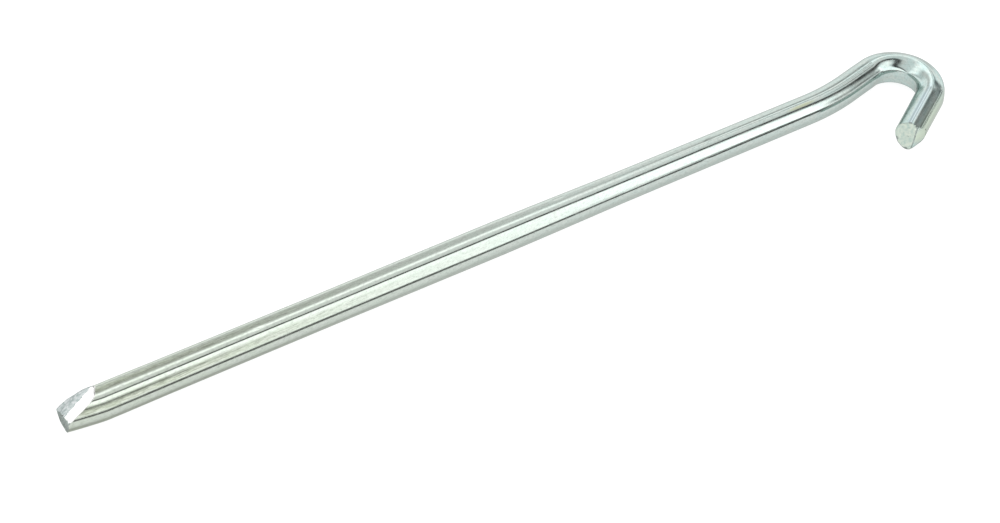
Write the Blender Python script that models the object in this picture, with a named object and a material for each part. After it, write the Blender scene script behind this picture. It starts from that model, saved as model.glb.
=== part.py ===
"""Hook-topped tent stake, made of one length of six-lobed steel rod.

The rod is sheared to a point at one end and bent into a hook at the other. It
lies on its side with the hook flat: the point is at -X, the hook at +X opens
towards -Y, and the surface that it lies on is Z = 0.
"""

import math

import bmesh
import bpy
from mathutils import Matrix, Vector

MM = 0.001

# Rod section: six round lobes with shallow, nearly flat grooves between them. The
# top lobe leans towards the side that the hook opens to, most of all at the point,
# because the rod is a little twisted.
ROD_DIAMETER = 7.2 * MM
LOBE_COUNT = 6
GROOVE_DEPTH = 0.15 * MM
POINTS_PER_LOBE = 8
POINT_ROLL = math.radians(-22.0)
NECK_ROLL = math.radians(-12.0)
LEG_ROLL = math.radians(-5.2)

# Centreline, from the point to the end of the hook's leg. The neck bends to the
# left and the hook to the right, both in the plane that the stake lies in.
SHANK_LENGTH = 193.3 * MM
NECK_RADIUS = 62.3 * MM
NECK_ANGLE = math.radians(12.8)
NECK_LENGTH = 8.8 * MM
HOOK_RADIUS = 8.4 * MM
LEG_DIRECTION = math.radians(149.6)
LEG_LENGTH = 16.3 * MM
SHANK_STEPS = 12
NECK_STEPS = 6
HOOK_STEPS = 30

# So tight a bend squeezes the steel out across the hook: how much higher the
# rod's upper half is there at the crown. The side that it was bent on is flat.
CROWN_SWELL = 0.24

# Sheared end of the hook's leg: its slopes off a square cut, up and sideways.
LEG_CUT_UP_SLOPE = 0.1
LEG_CUT_SIDE_SLOPE = -0.1

# Point: a long oblique cut, a small blunt end, and an underside pressed in.
POINT_CUT_ANGLE = math.radians(24.5)
POINT_CUT_ROLL = math.radians(16.4)
POINT_CUT_PLACE = 0.3 * MM
BLUNT_END_PLACE = 0.6 * MM
BLUNT_END_SLOPE = 0.05
POINT_SPARE = 4.0 * MM
PRESSED_LENGTH = 9.0 * MM
PRESSED_DEPTH = 0.9 * MM
PRESSED_ROLL = math.radians(47.0)

STEEL_COLOUR = (0.74, 0.76, 0.75, 1.0)
STEEL_ROUGHNESS = 0.25
SHARP_EDGE_ANGLE = math.radians(35.0)


def clear_scene():
    for obj in list(bpy.data.objects):
        bpy.data.objects.remove(obj, do_unlink=True)


def across_rod(roll):
    """Unit vector across the shank, turned from straight up towards +Y."""
    return Vector((0, math.sin(roll), math.cos(roll)))


def section_radius(angle):
    """Radius of the rod's section, largest on a lobe and smallest in a groove."""
    groove = (1 - math.cos(LOBE_COUNT * angle)) / 2
    return ROD_DIAMETER / 2 - GROOVE_DEPTH * groove


def section_ring(bm, centre):
    """The rod's outline across the X axis, as a closed loop of edges."""
    count = LOBE_COUNT * POINTS_PER_LOBE
    verts = []
    for i in range(count):
        angle = 2 * math.pi * i / count
        across = across_rod(angle + POINT_ROLL)
        verts.append(bm.verts.new(centre + section_radius(angle) * across))
    return [bm.edges.new((verts[i - 1], verts[i])) for i in range(count)]


def ring_verts(ring):
    return {vert for edge in ring for vert in edge.verts}


def extrude_ring(bm, ring, matrix):
    """Extrude a loop of edges, move the new loop by a matrix, and return it."""
    made = bmesh.ops.extrude_edge_only(bm, edges=ring)["geom"]
    verts = {item for item in made if isinstance(item, bmesh.types.BMVert)}
    bmesh.ops.transform(bm, matrix=matrix, verts=list(verts))
    return [
        item
        for item in made
        if isinstance(item, bmesh.types.BMEdge) and verts.issuperset(item.verts)
    ]


def about(place, angle, axis):
    """Matrix that turns by an angle about an axis through a place."""
    to_place = Matrix.Translation(place)
    return to_place @ Matrix.Rotation(angle, 4, axis) @ to_place.inverted()


def straight(bm, ring, place, heading, length, twist=0.0, steps=1):
    """Continue the rod straight on, with a twist. Returns its new ring and place."""
    ahead = Vector((math.cos(heading), math.sin(heading), 0))
    step = Matrix.Translation(ahead * length / steps)
    for _ in range(steps):
        ring = extrude_ring(bm, ring, step @ about(place, -twist / steps, ahead))
        place = step @ place
    return ring, place


def bend(bm, ring, place, heading, radius, angle, steps, twist=0.0, swell=0.0):
    """Bend the rod in its plane, to the left for a positive angle, with a twist."""
    side = math.copysign(radius, angle)
    centre = place + Vector((-math.sin(heading), math.cos(heading), 0)) * side
    turn = about(centre, angle / steps, "Z")
    swollen = []
    for i in range(steps):
        now = heading + angle * i / steps
        ahead = Vector((math.cos(now), math.sin(now), 0))
        ring = extrude_ring(bm, ring, turn @ about(place, -twist / steps, ahead))
        place = turn @ place
        thicker = 1 + swell * math.sin(math.pi * (i + 1) / steps)
        swollen.append((ring_verts(ring), thicker))
    for verts, thicker in swollen:
        for vert in verts:
            if vert.co.z > 0:
                vert.co.z *= thicker
    return ring, place, heading + angle


def swept_rod(bm):
    """The whole rod along its centreline, with the leg cut to length."""
    pressed = across_rod(PRESSED_ROLL) * PRESSED_DEPTH
    spare = Vector((POINT_SPARE, 0, 0))
    start = section_ring(bm, pressed * (1 + POINT_SPARE / PRESSED_LENGTH) - spare)
    place = Vector((PRESSED_LENGTH, 0, 0))
    relax = (spare + place) - pressed * (1 + POINT_SPARE / PRESSED_LENGTH)
    ring = extrude_ring(bm, start, Matrix.Translation(relax))
    heading = 0.0
    neck = NECK_RADIUS * NECK_ANGLE
    twist = (NECK_ROLL - POINT_ROLL) / (SHANK_LENGTH - PRESSED_LENGTH + neck + NECK_LENGTH)
    length = SHANK_LENGTH - PRESSED_LENGTH
    ring, place = straight(bm, ring, place, heading, length, twist * length, SHANK_STEPS)
    ring, place, heading = bend(
        bm, ring, place, heading, NECK_RADIUS, NECK_ANGLE, NECK_STEPS, twist * neck
    )
    ring, place = straight(bm, ring, place, heading, NECK_LENGTH, twist * NECK_LENGTH)
    angle = -NECK_ANGLE - LEG_DIRECTION
    twist = LEG_ROLL - NECK_ROLL
    ring, place, heading = bend(
        bm, ring, place, heading, HOOK_RADIUS, angle, HOOK_STEPS, twist, CROWN_SWELL
    )
    ring, place = straight(bm, ring, place, heading, LEG_LENGTH)
    shear_leg(ring, place, heading)
    bmesh.ops.edgeloop_fill(bm, edges=start)
    bmesh.ops.edgeloop_fill(bm, edges=ring)
    bmesh.ops.recalc_face_normals(bm, faces=bm.faces[:])


def shear_leg(ring, place, heading):
    """Slide the last ring's points along the leg onto its slightly oblique cut."""
    ahead = Vector((math.cos(heading), math.sin(heading), 0))
    up = Vector((0, 0, 1))
    normal = ahead + up * LEG_CUT_UP_SLOPE + up.cross(ahead) * LEG_CUT_SIDE_SLOPE
    for vert in ring_verts(ring):
        vert.co += ahead * (place - vert.co).dot(normal)


def cut_off(bm, point, normal):
    """Cut away what lies beyond a plane and close the cut with one flat face."""
    everything = bm.verts[:] + bm.edges[:] + bm.faces[:]
    cut = bmesh.ops.bisect_plane(
        bm, geom=everything, plane_co=point, plane_no=normal, clear_outer=True
    )["geom_cut"]
    loop = [item for item in cut if isinstance(item, bmesh.types.BMEdge)]
    bmesh.ops.edgeloop_fill(bm, edges=loop)


def shear_point(bm):
    """Cut the other end to a point that faces up, and blunt its tip."""
    back = Vector((-1, 0, 0))
    uphill = across_rod(POINT_CUT_ROLL)
    oblique = uphill * math.cos(POINT_CUT_ANGLE) + back * math.sin(POINT_CUT_ANGLE)
    cut_off(bm, Vector((POINT_CUT_PLACE, 0, 0)), oblique)
    blunt = back + across_rod(math.pi / 2) * BLUNT_END_SLOPE
    cut_off(bm, Vector((BLUNT_END_PLACE, 0, 0)), blunt.normalized())


def set_down(mesh):
    """Centre the stake over the origin and let it rest on Z = 0."""
    axes = range(3)
    low = Vector([min(v.co[i] for v in mesh.vertices) for i in axes])
    high = Vector([max(v.co[i] for v in mesh.vertices) for i in axes])
    middle = (low + high) / 2
    mesh.transform(Matrix.Translation((-middle.x, -middle.y, -low.z)))


def zinc_steel():
    material = bpy.data.materials.new("zinc_plated_steel")
    material.use_nodes = True
    shader = material.node_tree.nodes["Principled BSDF"]
    shader.inputs["Base Color"].default_value = STEEL_COLOUR
    shader.inputs["Metallic"].default_value = 1.0
    shader.inputs["Roughness"].default_value = STEEL_ROUGHNESS
    return material


def stake_rod():
    bm = bmesh.new()
    swept_rod(bm)
    shear_point(bm)
    mesh = bpy.data.meshes.new("stake_rod")
    bm.to_mesh(mesh)
    bm.free()
    set_down(mesh)
    mesh.shade_smooth()
    mesh.set_sharp_from_angle(angle=SHARP_EDGE_ANGLE)
    mesh.materials.append(zinc_steel())
    rod = bpy.data.objects.new("stake_rod", mesh)
    bpy.context.collection.objects.link(rod)
    return rod


clear_scene()
stake_rod()
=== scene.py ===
"""Looks of a hook-topped tent stake: one length of zinc-plated, six-lobed steel rod.

The stake lies on its side on a pale floor, with its point at -X and its hook at +X.
The rod is swept as a fine mesh along the centreline of the CAD part. Each sheared
end is a height field over the rod's section, closed with rings that shrink inwards.
Across the rod, places are given as left (of its heading) and up.
"""

import math

import bpy
import numpy as np
from mathutils import Matrix, Vector, noise


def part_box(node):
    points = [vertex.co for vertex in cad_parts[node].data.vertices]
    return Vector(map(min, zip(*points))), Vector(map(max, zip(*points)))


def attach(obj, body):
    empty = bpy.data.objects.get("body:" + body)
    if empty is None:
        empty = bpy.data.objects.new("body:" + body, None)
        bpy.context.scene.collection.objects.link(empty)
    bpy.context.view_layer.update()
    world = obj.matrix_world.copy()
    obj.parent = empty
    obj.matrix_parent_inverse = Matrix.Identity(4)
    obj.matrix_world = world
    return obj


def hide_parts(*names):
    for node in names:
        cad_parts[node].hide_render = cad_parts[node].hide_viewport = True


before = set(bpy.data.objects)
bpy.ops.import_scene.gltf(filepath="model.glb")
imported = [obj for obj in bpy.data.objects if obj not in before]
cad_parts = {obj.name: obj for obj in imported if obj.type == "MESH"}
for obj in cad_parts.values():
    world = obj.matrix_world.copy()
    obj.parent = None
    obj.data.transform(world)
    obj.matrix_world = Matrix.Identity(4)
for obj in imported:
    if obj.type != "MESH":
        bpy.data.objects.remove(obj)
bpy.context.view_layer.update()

MM = 0.001
STAKE_LOW, STAKE_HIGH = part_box("stake_rod")

# Section: six round lobes with nearly flat grooves between them.
ROD_RADIUS = 3.6 * MM
LOBE_COUNT = 6
POINTS_PER_LOBE = 24

# Centreline, from the point to the end of the hook's leg.
SHANK_LENGTH = 193.3 * MM
NECK_RADIUS = 62.3 * MM
NECK_BEND = NECK_RADIUS * math.radians(12.8)
NECK_LENGTH = 8.8 * MM
HOOK_RADIUS = 8.4 * MM
HOOK_BEND = HOOK_RADIUS * math.radians(162.4)
LEG_LENGTH = 16.3 * MM
NECK_BEND_END = SHANK_LENGTH + NECK_BEND
HOOK_START = NECK_BEND_END + NECK_LENGTH
LEG_START = HOOK_START + HOOK_BEND
LEG_END = LEG_START + LEG_LENGTH

# Its runs: length, and curvature to the left.
RUNS = (
    (SHANK_LENGTH, 0.0),
    (NECK_BEND, 1 / NECK_RADIUS),
    (NECK_LENGTH, 0.0),
    (HOOK_BEND, -1 / HOOK_RADIUS),
    (LEG_LENGTH, 0.0),
)

# Where the centreline starts, from the CAD box's -X, +Y, bottom corner.
START_FROM_BOX = (-0.42 * MM, -7.35 * MM, 3.585 * MM)

# The bend swells the upper half of the crown, and the leg gets thinner to its end.
CROWN_SWELL = 0.24
LEG_THINNING = 0.03

# The rod is a little twisted and uneven. At places along it: how far the top lobe
# leans (degrees), how deep the grooves are, how thick the rod is for its nominal
# size, and how high the lengthwise drawing ridges are.
ROLLS = (
    (0, -27.0),
    (21 * MM, -26.5),
    (52 * MM, -25.0),
    (83 * MM, -23.5),
    (176 * MM, -14.5),
    (HOOK_START, -12.0),
    (LEG_START, -5.2),
)
GROOVE_DEPTHS = (
    (0, 0.27 * MM),
    (21 * MM, 0.26 * MM),
    (52 * MM, 0.23 * MM),
    (83 * MM, 0.21 * MM),
    (176 * MM, 0.17 * MM),
    (HOOK_START, 0.15 * MM),
    (HOOK_START + 7 * MM, 0.26 * MM),
    (LEG_START - 7 * MM, 0.26 * MM),
    (LEG_START, 0.15 * MM),
)
THICKNESSES = (
    (0, 1.075),
    (14 * MM, 1.075),
    (22 * MM, 1.06),
    (62 * MM, 1.05),
    (83 * MM, 1.072),
    (104 * MM, 1.09),
    (115 * MM, 1.07),
    (126 * MM, 1.04),
    (136 * MM, 1.01),
    (156 * MM, 1.0),
)
RIDGE_HEIGHTS = (
    (0, 0.014 * MM),
    (15 * MM, 0.008 * MM),
    (40 * MM, 0.003 * MM),
    (130 * MM, 0.003 * MM),
    (185 * MM, 0.012 * MM),
    (LEG_START, 0.014 * MM),
    (LEG_END, 0.006 * MM),
)
RIDGE_WIDTH = 1.1 * MM
RIDGE_LENGTH = 60 * MM

# The hook's bend leaves the steel uneven: how much, at places along the rod.
CRUMPLE_SIZE = 4.5 * MM
CRUMPLE_DEPTHS = (
    (HOOK_START - 10 * MM, 0.0),
    (HOOK_START + 2 * MM, 0.05 * MM),
    (LEG_START - 6 * MM, 0.06 * MM),
    (LEG_START + 4 * MM, 0.02 * MM),
    (LEG_END - 3 * MM, 0.0),
)

# Small dents: place along the rod (mm), angle from the top lobe (degrees), half
# length (mm), half width (degrees) and depth (mm).
NICKS = (
    (44.0, 12.0, 1.2, 5.0, 0.06),
    (63.0, -68.0, 0.8, 5.0, 0.06),
    (121.0, 38.0, 1.4, 6.0, 0.04),
    (160.0, -58.0, 0.5, 5.0, 0.05),
    (163.0, 18.0, 0.6, 5.0, 0.05),
)

# Point: a long oblique cut, a small blunt end, and an underside pressed in.
POINT_CUT_ANGLE = math.radians(24.5)
POINT_CUT_ROLL = math.radians(16.4)
POINT_CUT_PLACE = 0.3 * MM
BLUNT_END_PLACE = 0.6 * MM
BLUNT_END_SLOPE = 0.05
BLUNT_BORDER = 0.25 * MM
CUT_CORNER = 0.12 * MM
PRESSED_LENGTH = 9.0 * MM
PRESSED_DEPTH = 0.9 * MM
PRESSED_ROLL = math.radians(47.0)
PRESSED_POWER = 1.25

# The oblique cut has a smooth burnished part and a rough, bulging part where it
# tore. The border between them waves a little.
TEAR_SLOPE = 0.826
TEAR_PLACE = 0.42 * MM
TEAR_WIDTH = 3.2 * MM
TEAR_BULGE = 0.38 * MM
TEAR_BULGE_POWER = 0.7
TEAR_GRAIN = 0.035 * MM
TEAR_GRAIN_SIZE = 0.35 * MM
TEAR_GRAIN_FADE = 0.5 * MM
TEAR_WAVE = 0.06 * MM
TEAR_WAVE_LENGTH = MM / 9

# Leg's end: nearly square and domed, with its outer side rolled over by the shear
# and its lower half squeezed narrower.
LEG_CUT_SHIFT = 0.25 * MM
LEG_CUT_UP_SLOPE = 0.16
LEG_CUT_SIDE_SLOPE = -0.1
LEG_CUT_DOME = 0.12 * MM
LEG_GRAIN = 0.05 * MM
LEG_GRAIN_SIZE = 0.9 * MM
ROLL_OVER_START = 1.6 * MM
ROLL_OVER_SLOPE = 0.7
ROLL_OVER_DEPTH = 3.0 * MM
ROLL_OVER_POWER = 2.2
LEG_SQUEEZE = 0.2
LEG_SQUEEZE_LENGTH = 2.5 * MM

# Marks on the leg's end: left, up, half width, half height and depth (all in mm).
# The tall one is the crease where the roll-over starts. Each dent is painted dark as
# shade out to a squared distance, in half sizes.
LEG_MARKS = (
    (1.55, 2.9, 0.55, 0.5, 0.7),
    (-0.2, 3.45, 0.45, 0.3, 0.4),
    (1.62, 0.0, 0.16, 30.0, 0.22),
    (-2.9, -1.6, 0.5, 0.5, 0.2),
    (0.2, -3.3, 0.7, 0.3, 0.15),
)
PAINTED_MARK_SHADE = 0.7

# Painted shade: the crease and the lower part of the rim get the dark blunt steel.
PAINTED_CREASE_SHADE_LEFT = (1.5 * MM, 1.78 * MM)
PAINTED_CREASE_SHADE_BOTTOM = -2.8 * MM
PAINTED_RIM_SHADE_RINGS = 3
PAINTED_RIM_SHADE_TOP = -1.2 * MM

# Mesh spacing. Rings are closest together at the two ends.
POINT_STRETCH = 16.0 * MM
LEG_STRETCH = 7.0 * MM
END_RINGS = 30
END_CROWDING = 1.6
SHANK_STEP = 0.8 * MM
NECK_STEPS = 12
NECK_STRAIGHT_STEPS = 6
HOOK_STEPS = 64
LEG_STEPS = 7
CAP_RINGS = 40
EDGE_BEVEL = 0.12 * MM

# The side's start on the point's cut is found in rounds, from a first guess.
FIT_GUESS = 2 * MM
FIT_ROUNDS = 30

# Added to a length before dividing by it, because it may be 0.
TINY = 1e-9

# Materials of the stake, by the number of their slot. The last also paints shade on the leg's end.
PLATED, BURNISHED, TORN, SHEARED, BLUNT_AND_PAINTED_SHADE = range(5)

# Colours of the plating: at shares of the way from the point to the leg's end, in
# warmer patches, and seen edge on.
ZINC_TINTS = (
    (0.0, (0.50, 0.555, 0.475)),
    (0.25, (0.505, 0.565, 0.505)),
    (0.5, (0.50, 0.57, 0.535)),
    (0.8, (0.475, 0.56, 0.535)),
    (0.93, (0.43, 0.55, 0.535)),
    (1.0, (0.435, 0.555, 0.53)),
)
ZINC_WARM_TINT = (0.53, 0.565, 0.53)
ZINC_EDGE_TINT = (0.65, 0.655, 0.65)
STEEL_EDGE_TINT = (0.6, 0.6, 0.6)

# Noise over the plating: its scale along the rod (per mm) and round it (per turn).
PATCH_STRETCH = (0.3, 14.0, 1.0)
SPECK_STRETCH = (1.1, 45.0, 1.0)
STREAK_STRETCH = (0.35, 110.0, 1.0)
LINE_STRETCH = (0.05, 160.0, 1.0)

# Noise through the metal (per metre), how high the pits are beside the lines, and
# the strength and depth of both as a bump.
PIT_SCALE = 1500.0
GLOSS_SCALE = 420.0
PIT_HEIGHT = 0.35
ZINC_BUMP = (0.22, 0.02 * MM)

# Ramps over noise or a share: (position, grey level or colour) stops.
PATCH_EDGES = ((0.38, 0.0), (0.62, 1.0))
SPECKS = ((0.3, 0.82), (0.48, 0.98), (0.7, 1.05))
GLOSS = ((0.3, 0.07), (0.75, 0.19))
GROOVE_FLOORS = ((0.45, 0.0), (0.9, 1.0))
GRIME_SHARES = ((0.0, 1.0), (0.12, 0.9), (0.3, 0.3), (0.45, 0.08))
GRIME_STREAKS = ((0.38, (0.45, 0.45, 0.4)), (0.62, (0.84, 0.84, 0.79)))
STAIN_FADE = ((0.3, 0.8), (0.7, 0.0))
WARM_SHARE = 0.6
STAIN_RAGGEDNESS = 0.8

# Stains in the plating: place along the rod (mm) and round it (turns), their half
# sizes and colour.
STAINS = (
    ((190.0, 0.484), (5.0, 0.022), (0.49, 0.52, 0.36)),
    ((120.0, 0.10), (9.0, 0.05), (0.50, 0.53, 0.50)),
    ((45.0, 0.12), (7.0, 0.05), (0.52, 0.57, 0.50)),
    ((LEG_END / MM - 6.0, 0.74), (16.0, 0.15), (0.55, 0.63, 0.51)),
    ((LEG_END / MM - 8.0, 0.497), (12.0, 0.045), (0.47, 0.56, 0.59)),
)

# Bare steel of the sheared faces, in the order of the slots after the plating: name,
# two colours, lowest and highest roughness, scale of the patches (per metre) and
# strength of the bump.
STEELS = (
    ("burnished_steel", (0.9, 0.9, 0.89), (0.82, 0.82, 0.81), (0.1, 0.25), 900.0, 0.1),
    ("torn_steel", (0.33, 0.39, 0.38), (0.6, 0.63, 0.63), (0.3, 0.5), 1500.0, 1.0),
    ("sheared_steel", (0.42, 0.52, 0.47), (0.6, 0.66, 0.58), (0.25, 0.5), 1100.0, 1.0),
    # The blunt steel also paints shade in the leg end's crease, dents and lower rim.
    ("blunt_steel_and_painted_shade", (0.19, 0.23, 0.21), (0.41, 0.46, 0.44), (0.3, 0.5), 1500.0, 0.8),
)

# The noise levels of the lowest and highest roughness, how much finer the bump's
# noise is than the patches, and its depth.
STEEL_PATCH_RANGE = (0.3, 0.7)
STEEL_BUMP_FINENESS = 3
STEEL_BUMP_DEPTH = 0.05 * MM

FLOOR_HALF = 3.0
FLOOR_COLOUR = (0.3, 0.3, 0.3, 1)
FLOOR_GLOW = 0.85

# Soft light strips along X: (degrees from straight up towards -Y, brightness). Most
# of the rod reflects the near ones. Towards +X they change into the far ones, and
# then into those at the end.
NEAR_STRIPS = (
    (-180, 1.5),
    (-69, 1.45),
    (-61, 0.92),
    (-51, 0.92),
    (-43, 1.5),
    (-38, 1.85),
    (-28, 1.85),
    (-15, 1.15),
    (14, 1.05),
    (22, 0.8),
    (26, 0.08),
    (35, 0.08),
    (41, 1.9),
    (71, 1.9),
    (75, 0.2),
    (90, 0.2),
    (91, 1.2),
    (180, 1.2),
)
FAR_STRIPS = (
    (-180, 1.5),
    (-72, 1.5),
    (-64, 0.5),
    (-59, 0.5),
    (-53, 1.5),
    (-42, 1.5),
    (-37, 0.45),
    (-33, 0.45),
    (-27, 1.35),
    (-6, 1.25),
    (14, 1.05),
    (22, 0.8),
    (26, 0.08),
    (35, 0.08),
    (41, 2.3),
    (58, 2.3),
    (63, 0.12),
    (90, 0.12),
    (91, 1.2),
    (180, 1.2),
)
END_STRIPS = (
    (-180, 1.5),
    (-64, 1.5),
    (-26, 1.5),
    (-17, 0.4),
    (-6, 1.4),
    (5, 0.35),
    (17, 1.4),
    (25, 0.1),
    (33, 0.1),
    (42, 1.9),
    (50, 0.2),
    (57, 1.9),
    (64, 0.1),
    (71, 1.3),
    (77, 0.1),
    (90, 0.2),
    (91, 1.2),
    (180, 1.2),
)
BRIGHTEST = max(level for _, level in NEAR_STRIPS + FAR_STRIPS + END_STRIPS)

# Where they change: shares of the direction along X.
FAR_RANGE = (0.47, 0.56)
END_RANGE = (0.6, 0.7)

# A dark part of the room at +X, above the horizon: shares of the direction along X
# and Z, and how much of the light it takes.
DARK_SIDE = (0.74, 0.84)
DARK_ABOVE = (0.3, 0.41)
DARK_SHARE = 0.6

# Camera at the photograph's angle.
LENS = 72
SENSOR_WIDTH = 36
CAMERA_PLACE = (-0.20112, -0.26121, 0.29770)
CAMERA_RIGHT = (0.833, -0.5522, 0.0359)
CAMERA_UP = (0.3507, 0.577, 0.7377)


def smoothstep(value):
    value = np.clip(value, 0.0, 1.0)
    return value * value * (3 - 2 * value)


def soft_max(first, second, width):
    """The larger of two values, with the corner between them rounded over a width."""
    return (first + second + np.sqrt((first - second) ** 2 + width**2)) / 2


def read_at(table, places):
    """A table's values at places along the rod."""
    return np.interp(places, *zip(*table))


def grain(points, size, depth, octaves=4):
    """Rough displacement of points, from layered noise."""
    return np.array([noise.fractal(Vector(p) / size, 1.0, 2.0, octaves) * depth for p in points])


def section_angles():
    """Angles round the rod from its top lobe, starting at the bottom."""
    count = LOBE_COUNT * POINTS_PER_LOBE
    return np.arange(count) * 2 * math.pi / count - math.pi


def section(angles, places):
    """(left, up) of the rod's outline at angles from its top lobe."""
    groove = (1 - np.cos(LOBE_COUNT * angles)) / 2
    radius = ROD_RADIUS - read_at(GROOVE_DEPTHS, places) * groove
    radius = radius + ridges(angles, places) * read_at(RIDGE_HEIGHTS, places)
    for nick in NICKS:
        radius = radius - nick_depth(nick, angles, places)
    radius = radius * read_at(THICKNESSES, places)
    turned = angles + np.radians(read_at(ROLLS, places))
    return radius * np.sin(turned), radius * np.cos(turned)


def ridges(angles, places):
    """Drawing ridges of height 1: noise that is stretched along the rod."""
    around = ROD_RADIUS * np.stack([np.cos(angles), np.sin(angles)]) / RIDGE_WIDTH
    return grain(np.stack([*around, places / RIDGE_LENGTH], axis=1), 1.0, 1.0, octaves=2)


def nick_depth(nick, angles, places):
    """How deep one small dent is, with a soft edge."""
    place, angle, half_length, half_width, depth = nick
    along = (places / MM - place) / half_length
    around = (np.degrees(angles) - angle) / half_width
    return depth * MM * np.exp(-(along**2) - around**2)


def centreline(place):
    """X, Y and heading of the centreline at a distance along it. The leg has no end."""
    x, y, heading = 0.0, 0.0, 0.0
    for index, (length, curvature) in enumerate(RUNS):
        last = index == len(RUNS) - 1
        run = place if last else min(place, length)
        if curvature:
            turned = heading + run * curvature
            x += (math.sin(turned) - math.sin(heading)) / curvature
            y -= (math.cos(turned) - math.cos(heading)) / curvature
            heading = turned
        else:
            x += run * math.cos(heading)
            y += run * math.sin(heading)
        place -= run
        if place <= 0:
            break
    return x, y, heading


def pressed(place):
    """(left, up) of the rod's axis, which is pressed to one side near the point."""
    share = np.clip(1 - place / PRESSED_LENGTH, 0, None) ** PRESSED_POWER
    left = PRESSED_DEPTH * share * math.sin(PRESSED_ROLL)
    up = PRESSED_DEPTH * share * math.cos(PRESSED_ROLL)
    return left, up


def torn(left, up):
    """Distance into the torn part of the oblique cut; negative in the burnished part."""
    return left - TEAR_SLOPE * up + TEAR_PLACE


def point_cut(left, up):
    """Where the oblique cut and the blunt end leave the rod, along X."""
    rise = up * math.cos(POINT_CUT_ROLL) + left * math.sin(POINT_CUT_ROLL)
    across_tear = np.clip(torn(left, up) / TEAR_WIDTH, 0, 1)
    bulge = TEAR_BULGE * np.sin(math.pi * across_tear) ** TEAR_BULGE_POWER
    slope = rise * math.cos(POINT_CUT_ANGLE) - bulge
    oblique = POINT_CUT_PLACE + slope / math.sin(POINT_CUT_ANGLE)
    blunt = BLUNT_END_PLACE + BLUNT_END_SLOPE * left
    return soft_max(oblique, blunt, CUT_CORNER)


def mark_distance(mark, left, up):
    """Squared distance from the middle of a mark on the leg's end, in its half sizes."""
    mark_left, mark_up, half_width, half_height, _ = mark
    across = (left / MM - mark_left) / half_width
    high = (up / MM - mark_up) / half_height
    return across**2 + high**2


def leg_cut(left, up):
    """Where the leg's cut leaves the rod, along it, from the leg's nominal end."""
    over = np.clip(left - ROLL_OVER_START, 0, None)
    share = over / (ROD_RADIUS - ROLL_OVER_START)
    rolled = ROLL_OVER_SLOPE * over + ROLL_OVER_DEPTH * share**ROLL_OVER_POWER
    dome = LEG_CUT_DOME * (left**2 + up**2) / ROD_RADIUS**2
    marks = sum(mark[-1] * MM * np.exp(-mark_distance(mark, left, up)) for mark in LEG_MARKS)
    slope = LEG_CUT_UP_SLOPE * up + LEG_CUT_SIDE_SLOPE * left
    return LEG_CUT_SHIFT - slope - rolled - dome - marks


def swept(places, left, up):
    """Points of the swept rod, before it is set down, from places along and across it."""
    near_end = smoothstep(1 - (LEG_END - places) / LEG_SQUEEZE_LENGTH)
    left = left * (1 - LEG_SQUEEZE * near_end * np.clip(-up / ROD_RADIUS, 0, 1))
    bumps = grain(np.stack([places, left, up], axis=1), CRUMPLE_SIZE, 1.0, octaves=1)
    crumple = bumps * read_at(CRUMPLE_DEPTHS, places) / (np.hypot(left, up) + TINY)
    leg = np.clip((places - LEG_START) / LEG_LENGTH, 0, None)
    scale = (1 + crumple) * (1 - LEG_THINNING * leg)
    around_hook = np.clip((places - HOOK_START) / HOOK_BEND, 0, 1)
    swell = np.where(up > 0, CROWN_SWELL * np.sin(math.pi * around_hook), 0)
    side = left * scale
    x, y, heading = np.array([centreline(place) for place in places]).T
    high = up * scale * (1 + swell)
    return np.stack([x - side * np.sin(heading), y + side * np.cos(heading), high], axis=1)


def point_start(angles):
    """Where the point's cut crosses each line along the rod."""
    start = np.full(len(angles), FIT_GUESS)
    for _ in range(FIT_ROUNDS):
        left, up = section(angles, start)
        shift_left, shift_up = pressed(start)
        start = (start + point_cut(left + shift_left, up + shift_up)) / 2
    return start


def side_rings():
    """Rings of (place, left, up) along the rod's side, from the point's cut to the leg's."""
    angles = section_angles()
    rings = []
    start = point_start(angles)
    for i in range(END_RINGS):
        share = (i / END_RINGS) ** END_CROWDING
        place = start + share * (POINT_STRETCH - start)
        left, up = section(angles, place)
        shift_left, shift_up = pressed(place)
        rings.append((place, left + shift_left, up + shift_up))
    middle = list(np.arange(POINT_STRETCH, SHANK_LENGTH, SHANK_STEP))
    middle += list(np.linspace(SHANK_LENGTH, NECK_BEND_END, NECK_STEPS, False))
    middle += list(np.linspace(NECK_BEND_END, HOOK_START, NECK_STRAIGHT_STEPS, False))
    middle += list(np.linspace(HOOK_START, LEG_START, HOOK_STEPS, False))
    middle += list(np.linspace(LEG_START, LEG_END - LEG_STRETCH, LEG_STEPS, False))
    for place in middle:
        places = np.full(len(angles), place)
        rings.append((places, *section(angles, places)))
    left, up = section(angles, np.full(len(angles), LEG_END))
    begin = LEG_END - LEG_STRETCH
    finish = LEG_END + leg_cut(left, up)
    for i in range(END_RINGS + 1):
        share = 1 - (1 - i / END_RINGS) ** END_CROWDING
        rings.append((begin + share * (finish - begin), left, up))
    return rings


def cap_rings(ring, cut, base):
    """Rings that shrink from an end's rim to its middle, on the cut's surface."""
    _, left, up = ring
    middle_left, middle_up = left.mean(), up.mean()
    rings = []
    shares = [1 - EDGE_BEVEL / ROD_RADIUS]
    shares += [1 - i / CAP_RINGS for i in range(1, CAP_RINGS)]
    for share in shares:
        ring_left = middle_left + share * (left - middle_left)
        ring_up = middle_up + share * (up - middle_up)
        rings.append((base + cut(ring_left, ring_up), ring_left, ring_up))
    return rings


def point_cap(ring):
    """Rings over the point's cut, which is rough where it tore."""
    rings = []
    for place, left, up in cap_rings(ring, point_cut, 0.0):
        share = smoothstep(torn(left, up) / TEAR_GRAIN_FADE)
        points = np.stack([place, left, up], axis=1)
        rough = share * grain(points, TEAR_GRAIN_SIZE, TEAR_GRAIN)
        rings.append((place - rough / math.sin(POINT_CUT_ANGLE), left, up))
    return rings


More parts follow.
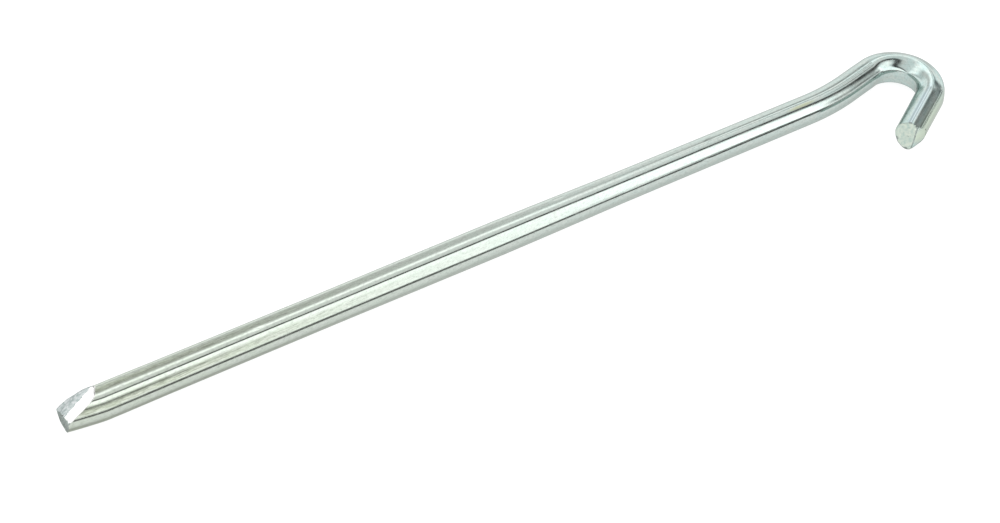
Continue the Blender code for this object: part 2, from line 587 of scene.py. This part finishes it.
def leg_cap(ring):
    """Rings over the leg's cut, which is a little rough."""
    rings = []
    for place, left, up in cap_rings(ring, leg_cut, LEG_END):
        points = np.stack([place, left, up], axis=1)
        rings.append((place + grain(points, LEG_GRAIN_SIZE, LEG_GRAIN), left, up))
    return rings


def point_zone(place, left, up):
    """Material of a face of the point's cut."""
    if place < BLUNT_END_PLACE + BLUNT_BORDER:
        return BLUNT_AND_PAINTED_SHADE
    if torn(left, up) > TEAR_WAVE * math.sin(up / TEAR_WAVE_LENGTH):
        return TORN
    return BURNISHED


def leg_zone(ring, left, up):
    """Material of a face of the leg's cut, in a ring counted from the rim. The crease, the
    dents and the lower rim get painted shade.
    """
    in_painted_crease_shade = PAINTED_CREASE_SHADE_LEFT[0] < left < PAINTED_CREASE_SHADE_LEFT[1] and up > PAINTED_CREASE_SHADE_BOTTOM
    in_painted_rim_shade = ring < PAINTED_RIM_SHADE_RINGS and up < PAINTED_RIM_SHADE_TOP
    in_painted_mark_shade = any(mark_distance(mark, left, up) < PAINTED_MARK_SHADE for mark in LEG_MARKS)
    # Painted shade: the crease, the dents and the lower rim get the dark blunt steel.
    if in_painted_crease_shade or in_painted_rim_shade or in_painted_mark_shade:
        return BLUNT_AND_PAINTED_SHADE
    return PLATED if left > ROLL_OVER_START else SHEARED


def stake_mesh():
    """Vertices, faces, their materials and their corners' places on the metal.

    The plating's places are along the rod (mm) and round it (turns). Those of the
    bare steel are across the rod (mm).
    """
    sides = side_rings()
    start, finish = point_cap(sides[0])[::-1], leg_cap(sides[-1])
    rings = start + sides + finish
    first_side, last_side = len(start), len(start) + len(sides) - 1
    verts = np.concatenate([swept(*ring) for ring in rings])
    flat = np.concatenate([np.stack(ring, axis=1) for ring in rings])
    count = len(section_angles())
    faces, zones, corners = [], [], []
    for j in range(len(rings) - 1):
        for i in range(count):
            k = (i + 1) % count
            face = (j * count + i, (j + 1) * count + i, (j + 1) * count + k, j * count + k)
            place, left, up = flat[list(face)].mean(axis=0)
            zone = PLATED
            if j < first_side:
                zone = point_zone(place, left, up)
            elif j >= last_side:
                zone = leg_zone(j - last_side, left, up)
            faces.append(face)
            zones.append(zone)
            if zone == PLATED:
                steps = (i, i, i + 1, i + 1)
                corners += [(flat[v][0] / MM, step / count) for v, step in zip(face, steps)]
            else:
                corners += [(flat[v][1] / MM, flat[v][2] / MM) for v in face]
    innermost = list(range(count))
    last_ring = [(len(rings) - 1) * count + i for i in innermost]
    for loop, zone in ((innermost[::-1], BURNISHED), (last_ring, SHEARED)):
        faces.append(tuple(loop))
        zones.append(zone)
        corners += [(flat[v][1] / MM, flat[v][2] / MM) for v in loop]
    return verts, faces, zones, corners


def connect(tree, socket, value):
    """Set a socket to a number or a colour, or link another node's output to it."""
    if isinstance(value, bpy.types.NodeSocket):
        tree.links.new(value, socket)
    else:
        socket.default_value = (*value, 1) if isinstance(value, tuple) else value


def add_math(tree, operation, *values):
    node = tree.nodes.new("ShaderNodeMath")
    node.operation = operation
    for socket, value in zip(node.inputs, values):
        connect(tree, socket, value)
    return node.outputs[0]


def add_node(tree, kind, **inputs):
    """A shader node whose inputs are numbers or other nodes' outputs."""
    node = tree.nodes.new(kind)
    for name, value in inputs.items():
        connect(tree, node.inputs[name.replace("_", " ")], value)
    return node


def add_split(tree, vector):
    """The X, Y and Z of a vector."""
    return add_node(tree, "ShaderNodeSeparateXYZ", Vector=vector).outputs


def add_noise(tree, vector, scale, detail=4.0, roughness=0.6):
    inputs = {"Vector": vector, "Scale": scale, "Detail": detail, "Roughness": roughness}
    return add_node(tree, "ShaderNodeTexNoise", **inputs).outputs[0]


def add_stretched_noise(tree, vector, stretch, detail=4.0, roughness=0.6):
    mapping = add_node(tree, "ShaderNodeMapping", Vector=vector)
    mapping.inputs["Scale"].default_value = stretch
    return add_noise(tree, mapping.outputs[0], 1.0, detail, roughness)


def add_levels(tree, value, stops):
    """Colour ramp: (position, grey level or colour) stops."""
    ramp = add_node(tree, "ShaderNodeValToRGB", Fac=value)
    elements = ramp.color_ramp.elements
    for place, _ in stops[1:-1]:
        elements.new(place)
    for element, (place, level) in zip(elements, stops):
        colour = level if isinstance(level, tuple) else (level, level, level)
        element.position = place
        element.color = (*colour, 1)
    return ramp.outputs[0]


def add_range(tree, value, low, high, interpolation="SMOOTHSTEP"):
    """Step from 0 at low to 1 at high."""
    share = add_node(tree, "ShaderNodeMapRange", Value=value, From_Min=low, From_Max=high)
    share.interpolation_type = interpolation
    return share.outputs[0]


def add_mix(tree, share, first, second, blend="MIX"):
    """Mix of two colours, which are the node's sockets 6 and 7."""
    node = tree.nodes.new("ShaderNodeMix")
    node.data_type = "RGBA"
    node.blend_type = blend
    connect(tree, node.inputs[0], share)
    connect(tree, node.inputs[6], first)
    connect(tree, node.inputs[7], second)
    return node.outputs[2]


def add_bump(tree, shader, height, strength, depth):
    bump = add_node(tree, "ShaderNodeBump", Height=height, Strength=strength, Distance=depth)
    tree.links.new(bump.outputs[0], shader.inputs["Normal"])


def metal(name, edge_tint):
    material = bpy.data.materials.new(name)
    material.use_nodes = True
    shader = material.node_tree.nodes["Principled BSDF"]
    shader.inputs["Metallic"].default_value = 1.0
    shader.inputs["Specular Tint"].default_value = (*edge_tint, 1)
    return material, material.node_tree, shader


def zinc_colour(tree, place, share, patches):
    """Passivation tints along the rod, with warmer patches and dull specks."""
    tint = add_levels(tree, share, ZINC_TINTS)
    warm = add_math(tree, "MULTIPLY", add_levels(tree, patches, PATCH_EDGES), WARM_SHARE)
    colour = add_mix(tree, warm, tint, ZINC_WARM_TINT)
    specks = add_levels(tree, add_stretched_noise(tree, place, SPECK_STRETCH), SPECKS)
    return add_mix(tree, 1.0, colour, specks, "MULTIPLY")


def add_grime(tree, colour, place, around, share):
    """Dirt in the grooves, most of all near the point."""
    lobes = add_math(tree, "COSINE", add_math(tree, "MULTIPLY", around, 2 * math.pi * LOBE_COUNT))
    depth = add_math(tree, "MULTIPLY_ADD", lobes, -0.5, 0.5)
    in_groove = add_levels(tree, depth, GROOVE_FLOORS)
    dirt = add_math(tree, "MULTIPLY", in_groove, add_levels(tree, share, GRIME_SHARES))
    streaks = add_stretched_noise(tree, place, STREAK_STRETCH, 5.0, 0.65)
    grime = add_levels(tree, streaks, GRIME_STREAKS)
    return add_mix(tree, dirt, colour, add_mix(tree, 1.0, colour, grime, "MULTIPLY"))


def add_stain(tree, colour, axes, patches, stain):
    """One stain with a ragged edge, at a place along the rod and round it."""
    middles, halves, stain_colour = stain
    squares = []
    for axis, middle, half in zip(axes, middles, halves):
        offset = add_math(tree, "DIVIDE", add_math(tree, "SUBTRACT", axis, middle), half)
        squares.append(add_math(tree, "MULTIPLY", offset, offset))
    distance = add_math(tree, "ADD", *squares)
    distance = add_math(tree, "MULTIPLY_ADD", patches, STAIN_RAGGEDNESS, distance)
    stained = add_levels(tree, add_math(tree, "MULTIPLY", distance, 0.5), STAIN_FADE)
    return add_mix(tree, stained, colour, stain_colour)


def plated_zinc():
    """Bright zinc over drawn steel: lengthwise lines, faint tints, grime and stains."""
    material, tree, shader = metal("plated_zinc", ZINC_EDGE_TINT)
    place = add_node(tree, "ShaderNodeUVMap").outputs[0]
    solid = add_node(tree, "ShaderNodeTexCoord").outputs["Object"]
    along, around, _ = add_split(tree, place)
    share = add_math(tree, "DIVIDE", along, LEG_END / MM)
    patches = add_stretched_noise(tree, place, PATCH_STRETCH)
    colour = zinc_colour(tree, place, share, patches)
    colour = add_grime(tree, colour, place, around, share)
    for stain in STAINS:
        colour = add_stain(tree, colour, (along, around), patches, stain)
    tree.links.new(colour, shader.inputs["Base Color"])
    gloss = add_levels(tree, add_noise(tree, solid, GLOSS_SCALE, 3.0, 0.5), GLOSS)
    tree.links.new(gloss, shader.inputs["Roughness"])
    pits = add_math(tree, "MULTIPLY", add_noise(tree, solid, PIT_SCALE, 3.0), PIT_HEIGHT)
    height = add_math(tree, "ADD", add_stretched_noise(tree, place, LINE_STRETCH), pits)
    add_bump(tree, shader, height, *ZINC_BUMP)
    return material


def bare_steel(name, colour, second_colour, roughness, scale, bump_strength):
    """Bare or thinly plated steel on a sheared face."""
    material, tree, shader = metal(name, STEEL_EDGE_TINT)
    solid = add_node(tree, "ShaderNodeTexCoord").outputs["Object"]
    patches = add_noise(tree, solid, scale)
    share = add_levels(tree, patches, PATCH_EDGES)
    tree.links.new(add_mix(tree, share, colour, second_colour), shader.inputs["Base Color"])
    rough = add_levels(tree, patches, tuple(zip(STEEL_PATCH_RANGE, roughness)))
    tree.links.new(rough, shader.inputs["Roughness"])
    height = add_noise(tree, solid, scale * STEEL_BUMP_FINENESS, roughness=0.65)
    add_bump(tree, shader, height, bump_strength, STEEL_BUMP_DEPTH)
    return material


def make_stake():
    verts, faces, zones, corners = stake_mesh()
    mesh = bpy.data.meshes.new("stake")
    mesh.from_pydata([tuple(v) for v in verts], [], faces)
    mesh.update()
    places = mesh.uv_layers.new(name="along_and_around")
    places.data.foreach_set("uv", np.array(corners, dtype=np.float32).ravel())
    mesh.polygons.foreach_set("material_index", zones)
    mesh.shade_smooth()
    corner = Vector((STAKE_LOW.x, STAKE_HIGH.y, STAKE_LOW.z))
    mesh.transform(Matrix.Translation(corner + Vector(START_FROM_BOX)))
    mesh.materials.append(plated_zinc())
    for steel in STEELS:
        mesh.materials.append(bare_steel(*steel))
    stake = bpy.data.objects.new("stake", mesh)
    bpy.context.collection.objects.link(stake)
    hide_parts("stake_rod")
    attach(stake, "root")


def make_floor():
    mesh = bpy.data.meshes.new("floor")
    corners = [(x * FLOOR_HALF, y * FLOOR_HALF, 0) for x, y in ((-1, -1), (1, -1), (1, 1), (-1, 1))]
    mesh.from_pydata(corners, [], [(0, 1, 2, 3)])
    floor = bpy.data.objects.new("floor", mesh)
    material = bpy.data.materials.new("white_floor")
    material.use_nodes = True
    shader = material.node_tree.nodes["Principled BSDF"]
    shader.inputs["Base Color"].default_value = FLOOR_COLOUR
    shader.inputs["Roughness"].default_value = 0.9
    shader.inputs["Specular IOR Level"].default_value = 0.0
    shader.inputs["Emission Color"].default_value = (1, 1, 1, 1)
    shader.inputs["Emission Strength"].default_value = FLOOR_GLOW
    mesh.materials.append(material)
    bpy.context.collection.objects.link(floor)


def add_strips(tree, turn, strips):
    """Brightness of a set of strips, as a share of the brightest one's."""
    share = add_range(tree, turn, -math.pi, math.pi, "LINEAR")
    stops = [((degrees + 180) / 360, level / BRIGHTEST) for degrees, level in strips]
    return add_levels(tree, share, stops)


def make_world():
    world = bpy.data.worlds.new("studio")
    bpy.context.scene.world = world
    world.use_nodes = True
    tree = world.node_tree
    background = tree.nodes["Background"]
    direction = add_node(tree, "ShaderNodeTexCoord").outputs["Generated"]
    x, y, z = add_split(tree, direction)
    turn = add_math(tree, "ARCTAN2", add_math(tree, "MULTIPLY", y, -1.0), z)
    level = add_strips(tree, turn, NEAR_STRIPS)
    for strips, (low, high) in ((FAR_STRIPS, FAR_RANGE), (END_STRIPS, END_RANGE)):
        change = add_math(tree, "SUBTRACT", add_strips(tree, turn, strips), level)
        level = add_math(tree, "MULTIPLY_ADD", add_range(tree, x, low, high), change, level)
    aside = add_range(tree, x, *DARK_SIDE)
    above = add_range(tree, z, *DARK_ABOVE)
    dark = add_math(tree, "MULTIPLY", add_math(tree, "MULTIPLY", aside, above), -DARK_SHARE)
    level = add_math(tree, "MULTIPLY_ADD", level, dark, level)
    tree.links.new(level, background.inputs["Color"])
    background.inputs["Strength"].default_value = BRIGHTEST


def make_camera():
    data = bpy.data.cameras.new("camera")
    data.lens = LENS
    data.sensor_width = SENSOR_WIDTH
    camera = bpy.data.objects.new("camera", data)
    right = Vector(CAMERA_RIGHT).normalized()
    back = right.cross(Vector(CAMERA_UP)).normalized()
    turned = Matrix((right, back.cross(right), back)).transposed().to_4x4()
    camera.matrix_world = Matrix.Translation(CAMERA_PLACE) @ turned
    bpy.context.collection.objects.link(camera)
    bpy.context.scene.camera = camera


make_stake()
make_floor()
make_world()
make_camera()
bpy.context.scene.view_settings.view_transform = "Standard"
